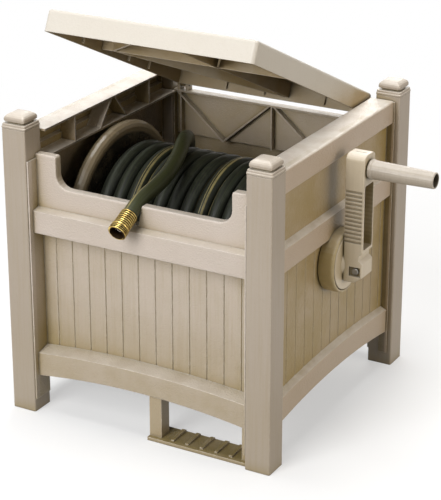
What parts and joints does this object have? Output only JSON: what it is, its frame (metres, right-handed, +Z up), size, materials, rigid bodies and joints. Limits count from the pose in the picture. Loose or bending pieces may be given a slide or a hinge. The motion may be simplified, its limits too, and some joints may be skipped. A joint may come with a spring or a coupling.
{
  "type": "boxed garden hose reel",
  "caption": "Square panelled box on corner posts with a rear-hinged lid, a side crank and a drum of hose whose brass end leaves through a notch in the front.",
  "frame": {"origin": "centre of the bounding box at the level of the feet, hose end left out", "axes": "+Z up, +X towards the crank, -Y towards the front with the hose notch"},
  "size_m": [0.5738, 0.4594, 0.5872],
  "materials": {
    "taupe_plastic": "fine grain moulded",
    "lid_plastic": "fine grain moulded",
    "drum_plastic": "smooth moulded",
    "black_plastic": "smooth moulded",
    "hose_rubber": "satin",
    "seal_rubber": "matt",
    "brass": "bright pressed",
    "steel": "plated"
  },
  "bodies": {
    "box_frame": {"post_front_left": "taupe_plastic", "cap_front_left": "taupe_plastic", "post_front_right": "taupe_plastic", "cap_front_right": "taupe_plastic", "post_rear_left": "taupe_plastic", "cap_rear_left": "taupe_plastic", "post_rear_right": "taupe_plastic", "cap_rear_right": "taupe_plastic", "side_panel_left": "taupe_plastic", "side_panel_right": "taupe_plastic", "front_panel": "taupe_plastic", "rear_panel": "taupe_plastic", "foot_step": "taupe_plastic", "crank_cover": "taupe_plastic", "hinge_pin_left": "steel", "hinge_pin_right": "steel", "hose_tail": "hose_rubber", "hose_ferrule": "brass", "hose_coupling": "brass", "inlet_tube": "black_plastic", "inlet_screw_1": "steel", "inlet_screw_2": "steel", "inlet_screw_3": "steel", "inlet_ring_1": "seal_rubber", "inlet_ring_2": "seal_rubber"},
    "lid": {"lid": "lid_plastic"},
    "drum": {"drum_flange_left": "drum_plastic", "drum_flange_right": "drum_plastic", "drum_barrel": "drum_plastic", "hose_core": "hose_rubber", "hose_winding": "hose_rubber", "crank_shaft": "steel", "crank_arm": "taupe_plastic", "crank_bolt": "steel", "handle_pin": "steel", "water_elbow": "black_plastic"},
    "handle": {"crank_handle": "taupe_plastic"},
    "inlet_nut": {"inlet_nut": "black_plastic", "inlet_washer": "seal_rubber"}
  },
  "joints": [
    {"name": "lid_hinge", "type": "hinge", "parent": "box_frame", "child": "lid", "pos_m": [-0.0566, 0.185, 0.392], "axis": [-1, 0, 0], "range_deg": [-25.4, 74.6]},
    {"name": "drum_spin", "type": "hinge", "parent": "box_frame", "child": "drum", "pos_m": [-0.0566, 0, 0.238], "axis": [1, 0, 0], "continuous": true, "deforming": ["hose_tail"]},
    {"name": "handle_spin", "type": "hinge", "parent": "drum", "child": "handle", "pos_m": [0.1904, 0, 0.379], "axis": [1, 0, 0], "continuous": true},
    {"name": "inlet_nut_spin", "type": "hinge", "parent": "box_frame", "child": "inlet_nut", "pos_m": [-0.2659, 0, 0.238], "axis": [1, 0, 0], "continuous": true}
  ]
}
